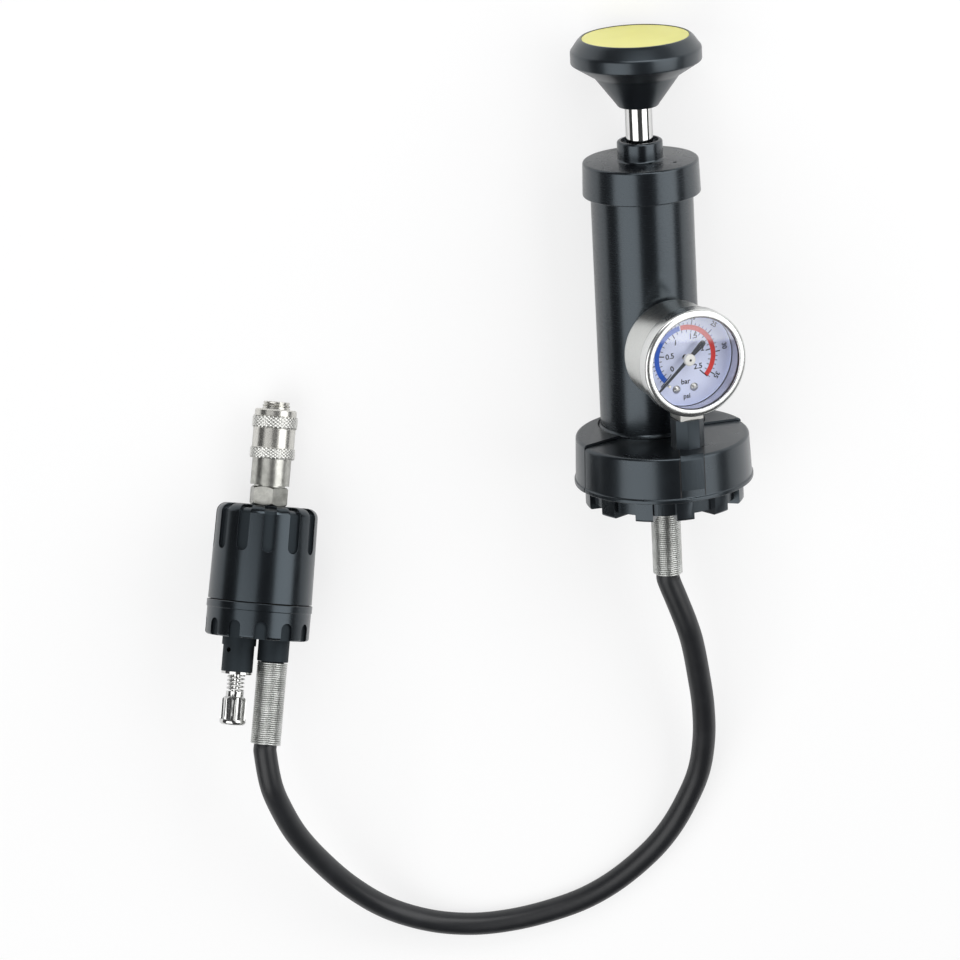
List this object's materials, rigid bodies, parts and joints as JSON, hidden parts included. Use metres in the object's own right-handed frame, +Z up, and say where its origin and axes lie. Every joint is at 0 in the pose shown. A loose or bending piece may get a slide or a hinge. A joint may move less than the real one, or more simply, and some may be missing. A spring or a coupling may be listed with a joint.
{
  "type": "radiator pressure tester",
  "caption": "Hand pump with a dial gauge on a round lock-ring base, joined by a rubber hose to a fluted valve head with a quick coupler and a press release valve.",
  "frame": {"origin": "on the surface the tester lies on, under the centre of the box round the pump and the valve head, hose left out", "axes": "+Z up from the surface; +Y along the pump towards its knob, within 3 degrees; +X to the right, from the valve head to the pump"},
  "size_m": [0.2681, 0.4698, 0.0903],
  "materials": {
    "black_plastic": "satin",
    "steel": "polished",
    "zinc_wire": "galvanised",
    "brass": "machined",
    "plated": "satin",
    "rubber": "matte",
    "hose_rubber": "semi-gloss",
    "alu": "machined",
    "yellow": "gloss",
    "dial_paint": "satin",
    "needle_paint": "satin",
    "lens": "clear"
  },
  "bodies": {
    "housing": {"pump_base": "black_plastic", "front_cover": "black_plastic", "port_plate": "black_plastic", "lock_ring": "black_plastic", "base_screws": "steel", "barrel": "black_plastic", "check_valve": "rubber", "barrel_cap": "black_plastic", "rod_bush": "black_plastic", "gauge_post": "black_plastic", "gauge_stem": "plated", "gauge_case": "steel", "gauge_bezel": "steel", "gauge_lens": "lens", "dial_ring": "black_plastic", "gauge_dial": "dial_paint", "dial_screws": "steel", "stop_pin": "plated", "bourdon_tube": "brass", "movement_frame": "brass", "hose_fitting": "brass", "pump_hose_guard": "zinc_wire", "hose": "hose_rubber", "head_hose_guard": "zinc_wire", "hose_boss": "black_plastic", "valve_shell": "black_plastic", "lower_ring": "black_plastic", "valve_core": "brass", "release_bush": "black_plastic", "release_washer": "zinc_wire", "release_spring": "zinc_wire", "release_seal": "rubber", "coupler_body": "steel", "coupler_nozzle": "steel", "sleeve_spring": "zinc_wire", "locking_balls": "zinc_wire", "coupler_valve_spring": "zinc_wire"},
    "plunger": {"plunger_rod": "steel", "piston": "alu", "piston_seal": "rubber", "piston_nut": "zinc_wire", "knob": "black_plastic", "knob_disc": "yellow"},
    "needle": {"needle": "needle_paint"},
    "sector": {"sector_gear": "brass"},
    "release": {"release_knob": "steel"},
    "sleeve": {"coupler_sleeve": "steel"},
    "coupler_valve": {"coupler_valve": "brass"}
  },
  "joints": [
    {"name": "plunger_slide", "type": "slide", "parent": "housing", "child": "plunger", "axis": [-0.0513, 0.9984, 0.0246], "range_m": [-0.0165, 0.107]},
    {"name": "needle_turn", "type": "hinge", "parent": "housing", "child": "needle", "pos_m": [0.0983, 0.02592, 0.0685], "axis": [-0.3753, 0.0035, -0.9269], "range_deg": [0, 270], "stiffness_Nm_per_rad": 0.0002, "springref_deg": -57.3},
    {"name": "sector_turn", "type": "hinge", "parent": "housing", "child": "sector", "pos_m": [0.09596, 0.01516, 0.0611], "axis": [-0.3753, 0.0035, -0.9269], "range_deg": [-46, 0]},
    {"name": "release_press", "type": "slide", "parent": "housing", "child": "release", "axis": [0.0846, 0.9573, -0.2764], "range_m": [0, 0.003], "stiffness_N_per_m": 1500, "springref_m": -0.002, "deforming": ["release_spring"]},
    {"name": "sleeve_slide", "type": "slide", "parent": "housing", "child": "sleeve", "axis": [-0.0846, -0.9573, 0.2764], "range_m": [0, 0.005], "stiffness_N_per_m": 800, "springref_m": -0.006, "deforming": ["sleeve_spring"]},
    {"name": "coupler_valve_push", "type": "slide", "parent": "housing", "child": "coupler_valve", "axis": [-0.0846, -0.9573, 0.2764], "range_m": [0, 0.003], "stiffness_N_per_m": 600, "springref_m": -0.002, "deforming": ["coupler_valve_spring"]}
  ],
  "couplings": [
    {"joint": "sector_turn", "follows": "needle_turn", "ratio": -0.16667}
  ]
}
